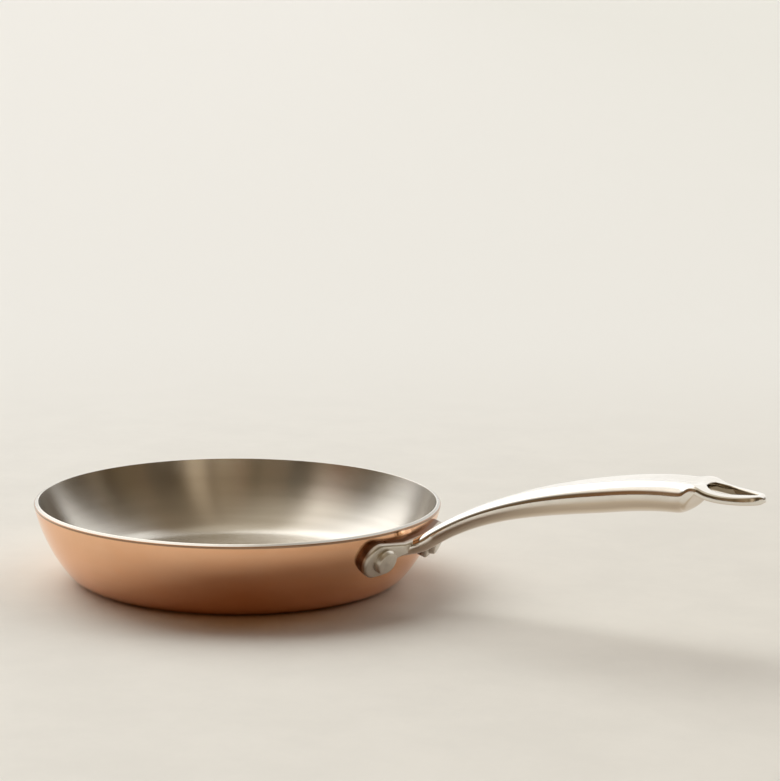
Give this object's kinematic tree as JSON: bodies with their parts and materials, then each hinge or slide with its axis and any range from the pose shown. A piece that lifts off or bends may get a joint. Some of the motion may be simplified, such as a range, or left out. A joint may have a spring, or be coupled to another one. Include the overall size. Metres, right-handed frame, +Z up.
{
  "type": "frying pan",
  "caption": "Small round frying pan with a bare copper outside, a steel lining and a long riveted steel handle that ends in a hanging loop.",
  "frame": {"origin": "centre of the pan's flat underside, on the surface that it stands on", "axes": "+Z up out of the pan's mouth, +X along the handle from the pan's axis to the hanging loop, Y across the handle"},
  "size_m": [0.382, 0.204, 0.0787],
  "materials": {
    "copper": "satin, finely brushed bare copper",
    "core": "plain, seen only as a line at the ground rim",
    "lining": "satin stainless steel with a fine radial grain",
    "handle": "polished cast stainless steel, satin at the ears",
    "rivet": "satin stainless steel"
  },
  "bodies": {
    "root": {"copper_shell": "copper", "aluminium_core": "core", "steel_lining": "lining", "handle": "handle", "right_rivet": "rivet", "left_rivet": "rivet"}
  },
  "joints": []
}
